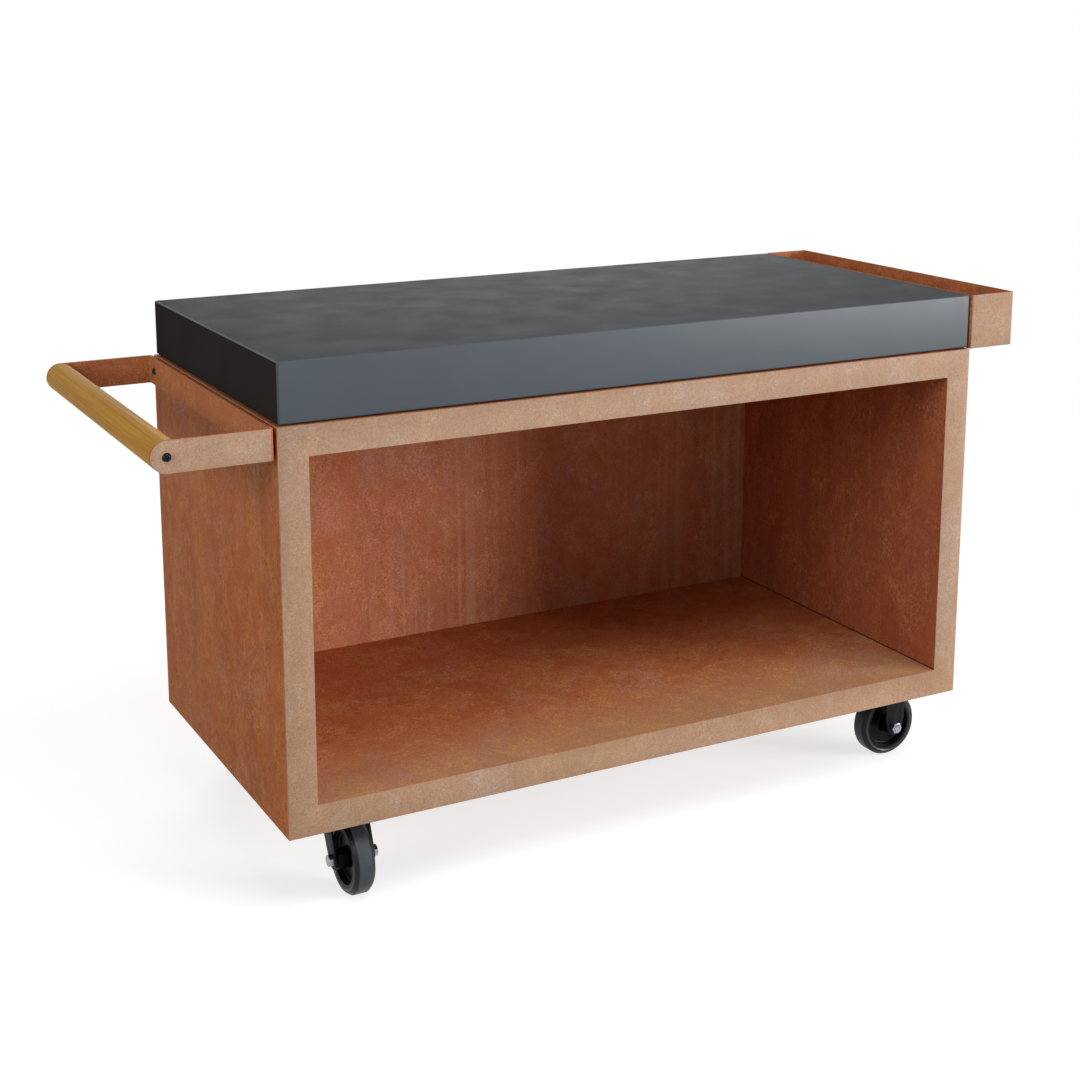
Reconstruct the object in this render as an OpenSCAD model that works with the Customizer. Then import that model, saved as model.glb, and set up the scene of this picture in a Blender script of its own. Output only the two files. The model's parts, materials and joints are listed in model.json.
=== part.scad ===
// Prep table on casters, in millimetres.
// A double-skinned steel cabinet with an open bay carries a thick stone worktop. A planter trough
// closes the right end, a wooden push handle stands out at the left end, and the table rolls on two
// rigid casters (right) and two swivel casters (left).
// The origin is on the ground under the middle of the whole table. +X runs to the planter, +Y to the
// rear and +Z up.

/* [Cabinet] */
// Length of the cabinet
body_l = 1350; // [1000:10:1800]
// Depth of the cabinet
body_d = 655; // [520:5:800]
// Height of the cabinet, without casters and worktop
body_h = 670; // [450:5:800]
// Thickness of the double-skinned walls
wall = 50; // [44:1:80]
// Thickness of the cabinet's sheet
sheet_t = 2; // [1.5:0.5:3]
// How far the rear panel sits inside the rear edges
rear_inset = 4; // [1:1:10]
// How far the base pan sits above the bottom edges
pan_recess = 12; // [8:1:16]
// Width of each channel over the casters
base_channel_w = 120; // [112:1:140]
// Thickness of the channels over the casters
base_channel_t = 3; // [2:0.5:4]
// Width of each channel under the deck
deck_channel_w = 60; // [40:1:100]
// Thickness of the channels under the deck
deck_channel_t = 2; // [1.5:0.5:3]
// Number of channels under the deck
deck_channel_n = 3; // [2:1:5]

/* [Worktop] */
// Height of the worktop's edge
top_h = 97.5; // [60:0.5:120]
// Thickness of the stone
stone_t = 12; // [8:1:20]
// Shadow gap between the worktop's edge and the cabinet
shadow_gap = 2.5; // [2.5:0.5:6]
// Inset of the worktop at the front and at the rear
top_inset_y = 3; // [0:0.5:10]
// Inset of the worktop at the handle end
top_inset_left = 3; // [0:0.5:10]
// Inset of the worktop at the planter end
top_inset_right = 1; // [0:0.5:5]
// Radius of the worktop's upper and lower edges
top_edge_r = 3; // [1:0.5:5]
// Radius of the worktop's upright corners
top_corner_r = 5; // [1:0.5:7]
// Number of bearers under the worktop
bearer_n = 4; // [2:1:6]
// Width of each bearer
bearer_w = 40; // [25:1:60]
// Wall of each bearer
bearer_t = 2; // [1.5:0.5:4]
// Distance from the cabinet's ends to the middle of the outer bearers
bearer_in = 120; // [100:5:200]
// Free space between a bearer's ends and the stone
bearer_end_gap = 10; // [2:1:30]
// Thickness of the rubber pads on the bearers
pad_t = 3; // [2:0.5:6]
// Length of each rubber pad
pad_l = 60; // [30:5:120]

/* [Planter] */
// Width of the planter trough
planter_w = 100; // [70:5:160]
// Thickness of the trough's sheet
planter_t = 2; // [1:0.5:2]
// Gap between the worktop and the trough
planter_gap = 2; // [1:0.5:6]
// Inner radius of the trough's folded corners
planter_r = 2; // [1:0.5:8]
// Length of the tongue that runs under the worktop
tongue_l = 60; // [45:1:62]
// Distance from the trough's ends to the tongue's ends
tongue_in = 30; // [15:5:80]
// Number of screws that hold the tongue
planter_screw_n = 4; // [2:1:8]
// Number of drain holes
drain_n = 3; // [1:1:6]
// Diameter of the drain holes
drain_d = 10; // [6:1:16]

/* [Handle] */
// How far the handle stands out from the cabinet
handle_reach = 195; // [140:5:260]
// Height of the handle's flat bar
bar_h = 50; // [42:1:60]
// Thickness of the handle's flat bar
bar_t = 5; // [4:0.5:8]
// Inner radius of the bar's two bends
bar_bend_r = 3; // [2:0.5:12]
// Diameter of the wooden grip
grip_d = 50; // [30:1:50]
// Thickness of the spacers between the bar and the cabinet
spacer_t = 4; // [2:0.5:10]
// Diameter of the spacers
spacer_d = 16; // [15:0.5:24]
// Distance from the cabinet's front and rear to the handle's screws
handle_screw_in = 32; // [25:1:60]
// Diameter of the threaded inserts in the grip
insert_d = 12; // [11:0.5:16]
// Length of the threaded inserts
insert_l = 30; // [20:1:50]

/* [Casters] */
// Diameter of the wheels
wheel_d = 125; // [100:1:160]
// Free height between a wheel and the crown of its fork
crown_clear = 13.5; // [8:0.5:30]
// Width of the tyres
tyre_w = 36.5; // [30:0.5:44]
// Thickness of the tyres, from the bore to the tread
tyre_t = 14; // [12:0.5:20]
// Diameter of the hub
hub_d = 35; // [30:1:44]
// Thickness of the wheel's web
web_t = 10; // [6:1:14]
// Thickness of the wheel's rim
core_rim_t = 4.5; // [3:0.5:6]
// Outer diameter of the bush in the hub
bush_d = 21; // [19:0.5:24]
// Outer diameter of the sleeve on the axle
sleeve_d = 15; // [14:0.5:16]
// Diameter of the axle bolts
axle_d = 12; // [10:0.5:12.5]
// Free space between a tyre and each leg of its fork
leg_clear = 12.75; // [8:0.25:16]
// Thickness of a fork's legs and crown
fork_t = 4; // [3:0.5:5]
// Width of a rigid fork's legs
leg_w = 43; // [36:1:50]
// Width of a swivel fork's legs where they meet the crown
leg_root_w = 44; // [38:1:52]
// Length of a swivel fork's crown, along its legs
crown_l = 60; // [54:1:70]
// Radius of the crown's corners
crown_r = 8; // [4:1:12]
// Radius of the round ends of the legs
leg_end_r = 16; // [13:0.5:18]
// Length of a caster's mounting plate
plate_l = 105; // [98:1:111]
// Width of a caster's mounting plate
plate_w = 85; // [80:1:95]
// Thickness of a caster's mounting plate
plate_t = 3; // [2.5:0.5:5]
// Distance between a plate's holes along its length
hole_l = 80; // [78:0.5:84]
// Distance between a plate's holes across its width
hole_w = 60; // [58:0.5:64]
// Horizontal distance from a swivel's axis to its axle
trail = 37; // [30:1:40]
// Diameter of the kingpins
kingpin_d = 12; // [10:0.5:14]
// Outer diameter of the swivel bearing
race_d = 64; // [62:0.5:66]
// Thickness of the bearing's upper race
ring_t = 4; // [3:0.5:6]
// Diameter of the circle through the middles of the balls
ball_circle_d = 50; // [48:0.5:51]
// Diameter of the swivel balls
ball_d = 5.8; // [5:0.1:6]
// Number of balls in each swivel bearing
ball_n = 24; // [12:1:24]
// Distance from the handle end to the swivel axes
swivel_in = 129; // [110:1:160]
// Distance from the planter end to the rigid casters
rigid_in = 88; // [75:1:140]
// Distance from the front and the rear to the middle of each caster plate
caster_in_y = 97; // [85:1:140]

/* [Hidden] */
$fn = 64;

// Clearances
through_gap = 0.5;  // radial, a screw through a drilled hole
thread_gap = 0.1;   // radial, a screw in its thread
run_gap = 0.05;     // radial, a turning fit
seat_gap = 0.05;    // radial, a pushed-in fit
hub_gap = 1;        // a hub's end to a fork's leg
ball_gap = 0.1;     // a ball to its races
race_gap = 0.5;     // a ball to the walls beside it
crown_gap = 1;      // a swivel plate's skirt to the crown, and the crown's boss to the plate
kingpin_gap = 0.3;  // the crown to the kingpin's nut
axle_gap = 0.25;    // radial, an axle bolt through a leg
cut = 1;            // how far a cutting shape runs past what it cuts

// Standard hardware: [shank, across flats or head diameter, height]
bolt_8 = [8, 13, 5.3];
nut_8 = [8, 13, 6.8];
button_8 = [8, 14, 4.4];
button_6 = [6, 10.5, 3.3];
nut_6 = [6, 10, 5];
axle_hex = [axle_d, 19, 8];
kingpin_hex = [kingpin_d, 19, 8];
socket_8 = [5, 2.6];  // across flats and depth of the driving socket
socket_6 = [4, 2.1];
bolt_tail = 2;        // how far a bolt's end stands out of its nut
planter_screw_l = 12; // shank under the head
hole_8 = bolt_8[0] / 2 + through_gap;
hole_6 = button_6[0] / 2 + through_gap;

// The two ends of every pair that stands at the front and at the rear
FRONT = -1;
REAR = 1;
SIDES = [FRONT, REAR];

// Height of a caster, stacked up from the ground: wheel, fork, swivel bearing and plate
caster_h = wheel_d + crown_clear + fork_t + ball_d + 2 * ball_gap + ring_t + plate_t;

// Cabinet planes
planter_out = planter_gap - top_inset_right + planter_w;
span = handle_reach + body_l + planter_out;
x_left = handle_reach - span / 2;
x_right = x_left + body_l;
y_front = -body_d / 2;
y_rear = body_d / 2;
y_back_skin = y_rear - rear_inset - sheet_t;
z_base = caster_h - pan_recess;
z_deck = z_base + body_h;
z_mount = caster_h;
z_pan = z_mount + sheet_t;
z_bay = z_base + wall;
z_ceiling = z_deck - wall;

// Worktop planes
top_x0 = x_left + top_inset_left;
top_x1 = x_right - top_inset_right;
top_y0 = y_front + top_inset_y;
top_y1 = y_rear - top_inset_y;
top_z0 = z_deck + shadow_gap;
top_z1 = top_z0 + top_h;
bearer_h = top_h + shadow_gap - stone_t - pad_t;
bearer_l = top_y1 - top_y0 - 2 * (stone_t + bearer_end_gap);

// Planter planes
planter_x0 = top_x1 + planter_gap;
planter_x1 = planter_x0 + planter_w;
tongue_x0 = planter_x0 - tongue_l;
planter_screw_x = (tongue_x0 + top_x1 - stone_t) / 2;
planter_screw_pitch = (body_d - 4 * tongue_in) / (planter_screw_n - 1);
drain_pitch = body_d / drain_n;

// Handle planes
bar_z = z_deck - bar_h / 2;
bar_x1 = x_left - spacer_t;
bar_x0 = x_left - handle_reach;
grip_x = bar_x0 + bar_h / 2;
grip_l = body_d - 2 * bar_t;
handle_screw_y = body_d / 2 - handle_screw_in;
handle_screw_l = bar_t + spacer_t + sheet_t + nut_8[2] + bolt_tail;
grip_screw_l = bar_t + insert_l - bolt_tail;
bend_out = bar_bend_r + bar_t;

// Caster planes
wheel_r = wheel_d / 2;
bore_r = wheel_r - tyre_t;
leg_gap = tyre_w + 2 * leg_clear;
hub_l = leg_gap - 2 * hub_gap;
leg_y1 = leg_gap / 2 + fork_t;
swivel_x = x_left + swivel_in;
rigid_x = x_right - rigid_in;
caster_y = body_d / 2 - caster_in_y;
z_race = z_mount - plate_t - ring_t;
z_crown = z_race - ball_d - 2 * ball_gap;
ball_r = ball_circle_d / 2;
boss_r = ball_r - ball_d / 2 - race_gap;
skirt_r = ball_r + ball_d / 2 + race_gap;
bolt_grip = plate_t + sheet_t + base_channel_t;

// Tyre profile, measured in from the tread and from the sides
lip_in = 8.7;     // from the tread to where the sidewall steps in
shoulder_in = 6;  // from the tread to the shoulder
tread_in = 7;     // from the side to the flat tread
side_step = 1.5;  // how far the sidewall steps in

// Colours
corten = [0.66, 0.40, 0.26];
corten_dark = [0.45, 0.24, 0.14];
stone = [0.27, 0.29, 0.31];
timber = [0.68, 0.50, 0.26];
black_paint = [0.08, 0.08, 0.09];
black_rubber = [0.05, 0.05, 0.05];
black_plastic = [0.09, 0.09, 0.10];
zinc = [0.75, 0.77, 0.80];
dark_steel = [0.12, 0.12, 0.13];
aluminium = [0.70, 0.71, 0.72];
nylon = [0.85, 0.84, 0.80];

// Shapes that repeat

// A box between two corners
module block(low, high) {
  translate(low)
    cube(high - low);
}

// A rectangle between two corners, with round corners
module round_rect(low, high, r) {
  size = high - low;
  translate(low) {
    translate([r, 0])
      square([size[0] - 2 * r, size[1]]);
    translate([0, r])
      square([size[0], size[1] - 2 * r]);
    for (x = [r, size[0] - r], y = [r, size[1] - r])
      translate([x, y])
        circle(r);
  }
}

// A drawing in X and Z, extruded along Y from y0 to y1
module along_y(y0, y1) {
  translate([0, y1, 0])
    rotate([90, 0, 0])
      linear_extrude(y1 - y0)
        children();
}

// A drawing in Y and Z, extruded along X from x0 to x1
module along_x(x0, x1) {
  translate([x0, 0, 0])
    rotate([90, 0, 90])
      linear_extrude(x1 - x0)
        children();
}

// A folded channel in X and Z: a web at the bottom or at the top and two upright sides
module channel_outline(x, w, z0, z1, t, web_up) {
  difference() {
    translate([x - w / 2, z0])
      square([w, z1 - z0]);
    translate([x - w / 2 + t, web_up ? z0 - cut : z0 + t])
      square([w - 2 * t, z1 - z0 - t + cut]);
  }
}

// Hardware stands on its seat at z = 0, with the head above and the shank below
module hexagon(af, h) {
  cylinder(h = h, d = af / cos(30), $fn = 6);
}

module hex_bolt(size, length) {
  hexagon(size[1], size[2]);
  translate([0, 0, -length])
    cylinder(h = length, d = size[0]);
}

module hex_nut(size) {
  difference() {
    hexagon(size[1], size[2]);
    translate([0, 0, -cut])
      cylinder(h = size[2] + 2 * cut, r = size[0] / 2 + thread_gap);
  }
}

module button_screw(size, socket, length) {
  head_r = size[1] / 2;
  dome_r = (head_r * head_r + size[2] * size[2]) / (2 * size[2]);
  difference() {
    intersection() {
      cylinder(h = size[2], r = head_r);
      translate([0, 0, size[2] - dome_r])
        sphere(dome_r);
    }
    translate([0, 0, size[2] - socket[1]])
      hexagon(socket[0], socket[1] + cut);
  }
  translate([0, 0, -length])
    cylinder(h = length, d = size[0]);
}

module tube(h, outer_r, inner_r) {
  difference() {
    cylinder(h = h, r = outer_r);
    translate([0, 0, -cut])
      cylinder(h = h + 2 * cut, r = inner_r);
  }
}

// Cabinet

module front_frame() {
  color(corten)
    difference() {
      block([x_left, y_front, z_base], [x_right, y_front + sheet_t, z_deck]);
      block([x_left + wall, y_front - cut, z_bay], [x_right - wall, y_front + sheet_t + cut, z_ceiling]);
    }
}

// The handle's screws pass through the left panel
module handle_screw_places(x) {
  for (side = SIDES)
    translate([x, side * handle_screw_y, bar_z])
      rotate([0, -90, 0])
        children();
}

module side_panel_left() {
  color(corten)
    difference() {
      block([x_left, y_front + sheet_t, z_base], [x_left + sheet_t, y_rear, z_deck]);
      handle_screw_places(x_left + sheet_t + cut)
        cylinder(h = sheet_t + 2 * cut, r = hole_8);
    }
}

module side_panel_right() {
  color(corten)
    block([x_right - sheet_t, y_front + sheet_t, z_base], [x_right, y_rear, z_deck]);
}

module rear_panel() {
  color(corten)
    block([x_left + sheet_t, y_back_skin, z_base], [x_right - sheet_t, y_back_skin + sheet_t, z_deck - sheet_t]);
}

// The planter's screws pass through the deck
module planter_screw_places(z) {
  first_y = y_front + 2 * tongue_in;
  for (i = [0 : planter_screw_n - 1])
    translate([planter_screw_x, first_y + i * planter_screw_pitch, z])
      children();
}

module top_deck() {
  color(corten)
    difference() {
      block([x_left + sheet_t, y_front + sheet_t, z_deck - sheet_t], [x_right - sheet_t, y_rear, z_deck]);
      planter_screw_places(z_deck - sheet_t - cut)
        cylinder(h = sheet_t + 2 * cut, r = hole_6);
    }
}

// The bolt holes of one caster plate, about its middle
module plate_hole_places(length_along_y) {
  dx = length_along_y ? hole_w : hole_l;
  dy = length_along_y ? hole_l : hole_w;
  for (i = SIDES, j = SIDES)
    translate([i * dx / 2, j * dy / 2, 0])
      children();
}

// The bolts of all four casters, at height z
module caster_bolt_places(z) {
  for (side = SIDES) {
    translate([swivel_x, side * caster_y, z])
      plate_hole_places(true)
        children();
    translate([rigid_x, side * caster_y, z])
      plate_hole_places(false)
        children();
  }
}

module base_pan() {
  color(corten)
    difference() {
      block([x_left + sheet_t, y_front + sheet_t, z_mount], [x_right - sheet_t, y_back_skin, z_pan]);
      caster_bolt_places(z_mount - cut)
        cylinder(h = sheet_t + 2 * cut, r = hole_8);
    }
}

module bay_floor() {
  color(corten_dark)
    block([x_left + wall - sheet_t, y_front + sheet_t, z_bay - sheet_t],
      [x_right - wall + sheet_t, y_back_skin, z_bay]);
}

module bay_ceiling() {
  color(corten_dark)
    block([x_left + wall - sheet_t, y_front + sheet_t, z_ceiling],
      [x_right - wall + sheet_t, y_back_skin, z_ceiling + sheet_t]);
}

module bay_wall(x) {
  color(corten_dark)
    block([x, y_front + sheet_t, z_bay], [x + sheet_t, y_back_skin, z_ceiling]);
}

module bay_wall_left() {
  bay_wall(x_left + wall - sheet_t);
}

module bay_wall_right() {
  bay_wall(x_right - wall);
}

module base_channels() {
  color(corten_dark)
    difference() {
      for (x = [swivel_x, rigid_x])
        along_y(y_front + sheet_t, y_back_skin)
          channel_outline(x, base_channel_w, z_pan, z_bay - sheet_t, base_channel_t, false);
      caster_bolt_places(z_pan - cut)
        cylinder(h = base_channel_t + 2 * cut, r = hole_8);
    }
}

module deck_channels() {
  pitch = body_l / (deck_channel_n + 1);
  color(corten_dark)
    for (i = [1 : deck_channel_n])
      along_y(y_front + sheet_t, y_back_skin)
        channel_outline(x_left + i * pitch, deck_channel_w, z_ceiling + sheet_t, z_deck - sheet_t, deck_channel_t, true);
}

// Worktop

// The whole slab with its round edges and corners
module slab() {
  intersection() {
    translate([0, 0, top_z0])
      linear_extrude(top_h)
        round_rect([top_x0, top_y0], [top_x1, top_y1], top_corner_r);
    along_y(top_y0 - cut, top_y1 + cut)
      round_rect([top_x0, top_z0], [top_x1, top_z1], top_edge_r);
    along_x(top_x0 - cut, top_x1 + cut)
      round_rect([top_y0, top_z0], [top_y1, top_z1], top_edge_r);
  }
}

// Half of a mitred section: the plate's, from the lower inner corners up to the outer top edges
function plate_section(a0, a1) = [
  [a0, top_z1], [a1, top_z1], [a1 - stone_t, top_z1 - stone_t], [a0 + stone_t, top_z1 - stone_t]
];

// The section of the strip along a face at a, which runs inwards by dir
function apron_section(a, dir) = [
  [a, top_z0], [a, top_z1], [a + dir * stone_t, top_z1 - stone_t], [a + dir * stone_t, top_z0]
];

module worktop_plate() {
  color(stone)
    intersection() {
      slab();
      along_y(top_y0 - cut, top_y1 + cut)
        polygon(plate_section(top_x0, top_x1));
      along_x(top_x0 - cut, top_x1 + cut)
        polygon(plate_section(top_y0, top_y1));
    }
}

// The strips at the front and at the rear, mitred to the plate and to the end strips
module worktop_long_aprons() {
  color(stone)
    for (side = SIDES) {
      face = side == FRONT ? top_y0 : top_y1;
      inner = face - side * stone_t;
      intersection() {
        slab();
        along_x(top_x0 - cut, top_x1 + cut)
          polygon(apron_section(face, -side));
        translate([0, 0, top_z0 - cut])
          linear_extrude(top_h + 2 * cut)
            polygon([[top_x0, face], [top_x1, face], [top_x1 - stone_t, inner], [top_x0 + stone_t, inner]]);
      }
    }
}

module worktop_end_aprons() {
  color(stone)
    for (dir = [1, -1]) {
      face = dir == 1 ? top_x0 : top_x1;
      inner = face + dir * stone_t;
      intersection() {
        slab();
        along_y(top_y0 - cut, top_y1 + cut)
          polygon(apron_section(face, dir));
        translate([0, 0, top_z0 - cut])
          linear_extrude(top_h + 2 * cut)
            polygon([[face, top_y0], [face, top_y1], [inner, top_y1 - stone_t], [inner, top_y0 + stone_t]]);
      }
    }
}

// The left edge of each bearer
function bearer_x(i) =
  x_left + bearer_in + i * (body_l - 2 * bearer_in) / (bearer_n - 1) - bearer_w / 2;

module worktop_bearers() {
  color(aluminium)
    for (i = [0 : bearer_n - 1])
      along_y(-bearer_l / 2, bearer_l / 2)
        translate([bearer_x(i), z_deck])
          difference() {
            square([bearer_w, bearer_h]);
            translate([bearer_t, bearer_t])
              square([bearer_w - 2 * bearer_t, bearer_h - 2 * bearer_t]);
          }
}

module worktop_pads() {
  color(black_rubber)
    for (i = [0 : bearer_n - 1], side = SIDES)
      translate([bearer_x(i), side * (bearer_l - pad_l) / 2 - pad_l / 2, z_deck + bearer_h])
        cube([bearer_w, pad_l, pad_t]);
}

// Planter

module planter_trough() {
  color(corten)
    difference() {
      union() {
        difference() {
          translate([0, 0, z_deck])
            linear_extrude(top_z1 - z_deck)
              round_rect([planter_x0, y_front], [planter_x1, y_rear], planter_r + planter_t);
          translate([0, 0, z_deck + planter_t])
            linear_extrude(top_z1 - z_deck)
              round_rect([planter_x0 + planter_t, y_front + planter_t],
                [planter_x1 - planter_t, y_rear - planter_t], planter_r);
        }
        block([tongue_x0, y_front + tongue_in, z_deck],
          [planter_x0 + planter_t, y_rear - tongue_in, z_deck + planter_t]);
      }
      planter_screw_places(z_deck - cut)
        cylinder(h = planter_t + 2 * cut, r = hole_6);
      for (i = [0 : drain_n - 1])
        translate([(planter_x0 + planter_x1) / 2, y_front + (i + 0.5) * drain_pitch, z_deck - cut])
          cylinder(h = planter_t + 2 * cut, d = drain_d);
    }
}

module planter_screws() {
  color(dark_steel)
    planter_screw_places(z_deck + planter_t)
      button_screw(button_6, socket_6, planter_screw_l);
}

module planter_nuts() {
  color(zinc)
    planter_screw_places(z_deck - sheet_t)
      mirror([0, 0, 1])
        hex_nut(nut_6);
}

// Handle

// One bar bent to a U, its arms rounded about the grip's axis
module handle_bracket() {
  color(corten)
    difference() {
      intersection() {
        translate([0, 0, bar_z - bar_h / 2])
          linear_extrude(bar_h)
            difference() {
              round_rect([bar_x0 - bend_out, y_front], [bar_x1, y_rear], bend_out);
              round_rect([bar_x0 - 2 * bend_out, y_front + bar_t],
                [bar_x1 - bar_t, y_rear - bar_t], bar_bend_r);
            }
        along_y(y_front - cut, y_rear + cut) {
          translate([grip_x, bar_z - bar_h / 2])
            square([bar_x1 - grip_x, bar_h]);
          translate([grip_x, bar_z])
            circle(d = bar_h);
        }
      }
      translate([grip_x, y_rear + cut, bar_z])
        rotate([90, 0, 0])
          cylinder(h = body_d + 2 * cut, r = hole_8);
      handle_screw_places(bar_x1 + cut)
        cylinder(h = bar_t + 2 * cut, r = hole_8);
    }
}

// Both ends of the grip, with local +Z pointing out of the end
module grip_end_places(y) {
  for (side = SIDES)
    translate([grip_x, side * y, bar_z])
      rotate([-90 * side, 0, 0])
        children();
}

module handle_grip() {
  color(timber)
    difference() {
      translate([grip_x, grip_l / 2, bar_z])
        rotate([90, 0, 0])
          cylinder(h = grip_l, d = grip_d);
      grip_end_places(grip_l / 2)
        translate([0, 0, -insert_l - bolt_tail])
          cylinder(h = insert_l + bolt_tail + cut, r = insert_d / 2 + seat_gap);
    }
}

module grip_inserts() {
  color(zinc)
    grip_end_places(grip_l / 2)
      translate([0, 0, -insert_l])
        tube(insert_l, insert_d / 2, button_8[0] / 2 + thread_gap);
}

module grip_screws() {
  color(dark_steel)
    grip_end_places(body_d / 2)
      button_screw(button_8, socket_8, grip_screw_l);
}

module handle_spacers() {
  color(dark_steel)
    handle_screw_places(x_left)
      tube(spacer_t, spacer_d / 2, hole_8);
}

module handle_screws() {
  color(dark_steel)
    handle_screw_places(bar_x1 - bar_t)
      button_screw(button_8, socket_8, handle_screw_l);
}

module handle_nuts() {
  color(zinc)
    handle_screw_places(x_left + sheet_t)
      mirror([0, 0, 1])
        hex_nut(nut_8);
}

// Casters. Each is drawn about its own upright axis, with its wheel rolling along local X.

// A rigid caster stands straight, and a swivel caster trails outwards
module at_rigid(side) {
  translate([rigid_x, side * caster_y, 0])
    rotate([0, 0, side == FRONT ? 180 : 0])
      children();
}

module at_swivel(side) {
  translate([swivel_x, side * caster_y, 0])
    rotate([0, 0, 90 * side])
      children();
}

// The wheel's place in its fork, with local +Z along the axle
module on_axle(behind) {
  translate([behind, 0, wheel_r])
    rotate([-90, 0, 0])
      children();
}

module plate_blank() {
  difference() {
    translate([0, 0, z_mount - plate_t])
      linear_extrude(plate_t)
        round_rect([-plate_l / 2, -plate_w / 2], [plate_l / 2, plate_w / 2], plate_t);
    translate([0, 0, z_mount - plate_t - cut])
      plate_hole_places(false)
        cylinder(h = plate_t + 2 * cut, r = hole_8);
  }
}

// The point where a line from p touches the circle at c with radius r, on its left or right side
function touch(p, c, r, hand) =
  let (
    d = p - c,
    far = norm(d),
    turn = atan2(d[1], d[0]) + hand * acos(r / far)
  )
  c + r * [cos(turn), sin(turn)];

// A leg from a straight top edge down to a round end at the axle
module leg_outline(top_x0, top_x1, top_z, end_x) {
  c = [end_x, wheel_r];
  left = [top_x0, top_z];
  right = [top_x1, top_z];
  polygon([left, right, touch(right, c, leg_end_r, -1), touch(left, c, leg_end_r, 1)]);
  translate(c)
    circle(leg_end_r);
}

module legs(behind) {
  for (side = SIDES)
    translate([0, side == FRONT ? -leg_y1 : leg_gap / 2, 0])
      along_y(0, fork_t)
        difference() {
          children();
          translate([behind, wheel_r])
            circle(axle_d / 2 + axle_gap);
        }
}

// The legs run straight down to just above the axle and then taper
module rigid_fork() {
  shoulder_z = wheel_r + leg_end_r;
  color(black_paint) {
    plate_blank();
    legs(0) {
      leg_outline(-leg_w / 2, leg_w / 2, shoulder_z, 0);
      translate([-leg_w / 2, shoulder_z])
        square([leg_w, z_mount - plate_t - shoulder_z]);
    }
  }
}

module swivel_plate() {
  head_r = kingpin_d / 2 + plate_t;
  color(black_paint)
    difference() {
      union() {
        plate_blank();
        translate([0, 0, z_race])
          cylinder(h = ring_t, d = race_d);
        translate([0, 0, z_crown + crown_gap])
          tube(z_race - z_crown - crown_gap, race_d / 2, skirt_r);
      }
      translate([0, 0, z_race - cut])
        cylinder(h = ring_t + plate_t + 2 * cut, r = kingpin_d / 2 + seat_gap);
      translate([0, 0, z_mount - plate_t])
        cylinder(h = plate_t, r1 = kingpin_d / 2 + seat_gap, r2 = head_r + seat_gap);
    }
}

// Riveted flush with the plate's upper face
module kingpin() {
  low = z_crown - fork_t - kingpin_gap - kingpin_hex[2] - bolt_tail;
  translate([0, 0, low])
    cylinder(h = z_mount - low, d = kingpin_d);
  translate([0, 0, z_mount - plate_t])
    cylinder(h = plate_t, r1 = kingpin_d / 2, r2 = kingpin_d / 2 + plate_t);
}

module swivel_fork() {
  color(black_paint) {
    difference() {
      union() {
        translate([0, 0, z_crown - fork_t])
          linear_extrude(fork_t)
            round_rect([-crown_l / 2, -leg_y1], [crown_l / 2, leg_y1], crown_r);
        translate([0, 0, z_crown])
          cylinder(h = z_race - z_crown - crown_gap, r = boss_r);
      }
      translate([0, 0, z_crown - fork_t - cut])
        cylinder(h = fork_t + ball_d + 2 * cut, r = kingpin_d / 2 + run_gap);
    }
    legs(trail)
      leg_outline(-leg_root_w / 2, leg_root_w / 2, z_crown - fork_t, trail);
  }
}

module axle_bolt() {
  color(zinc)
    mirror([0, 0, 1])
      translate([0, 0, leg_y1])
        hex_bolt(axle_hex, 2 * leg_y1 + axle_hex[2] + bolt_tail / 2);
}

module axle_nut() {
  color(zinc)
    translate([0, 0, leg_y1])
      hex_nut(axle_hex);
}

module axle_sleeve() {
  color(zinc)
    translate([0, 0, -leg_gap / 2])
      tube(leg_gap, sleeve_d / 2, axle_d / 2 + thread_gap);
}

// The tyre's section, from its bore out to the flat tread
module tyre() {
  half = tyre_w / 2;
  lip_r = wheel_r - lip_in;
  shoulder_r = wheel_r - shoulder_in;
  tread_half = half - tread_in;
  inner_half = half - side_step;
  color(black_rubber)
    rotate_extrude($fn = 96)
      polygon([
        [bore_r + seat_gap, -inner_half], [lip_r - side_step, -inner_half], [lip_r, -half],
        [shoulder_r, -half], [wheel_r, -tread_half], [wheel_r, tread_half], [shoulder_r, half],
        [lip_r, half], [lip_r - side_step, inner_half], [bore_r + seat_gap, inner_half]
      ]);
}

// Hub, web and rim in one piece
module wheel_core() {
  rim_half = tyre_w / 2 - side_step;
  color(black_plastic)
    difference() {
      union() {
        translate([0, 0, -hub_l / 2])
          cylinder(h = hub_l, d = hub_d);
        translate([0, 0, -web_t / 2])
          cylinder(h = web_t, r = bore_r - core_rim_t / 2);
        translate([0, 0, -rim_half])
          tube(2 * rim_half, bore_r, bore_r - core_rim_t);
      }
      translate([0, 0, -hub_l / 2 - cut])
        cylinder(h = hub_l + 2 * cut, r = bush_d / 2 + seat_gap);
    }
}

module wheel_bush() {
  color(nylon)
    translate([0, 0, -hub_l / 2])
      tube(hub_l, bush_d / 2, sleeve_d / 2 + run_gap);
}

module rigid_fork_front() {
  at_rigid(FRONT)
    rigid_fork();
}

module rigid_fork_rear() {
  at_rigid(REAR)
    rigid_fork();
}

module rigid_axle_bolts() {
  for (side = SIDES)
    at_rigid(side)
      on_axle(0)
        axle_bolt();
}

module rigid_axle_nuts() {
  for (side = SIDES)
    at_rigid(side)
      on_axle(0)
        axle_nut();
}

module rigid_axle_sleeves() {
  for (side = SIDES)
    at_rigid(side)
      on_axle(0)
        axle_sleeve();
}

module swivel_plate_front() {
  at_swivel(FRONT)
    swivel_plate();
}

module swivel_plate_rear() {
  at_swivel(REAR)
    swivel_plate();
}

module kingpins() {
  color(zinc)
    for (side = SIDES)
      at_swivel(side)
        kingpin();
}

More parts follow.
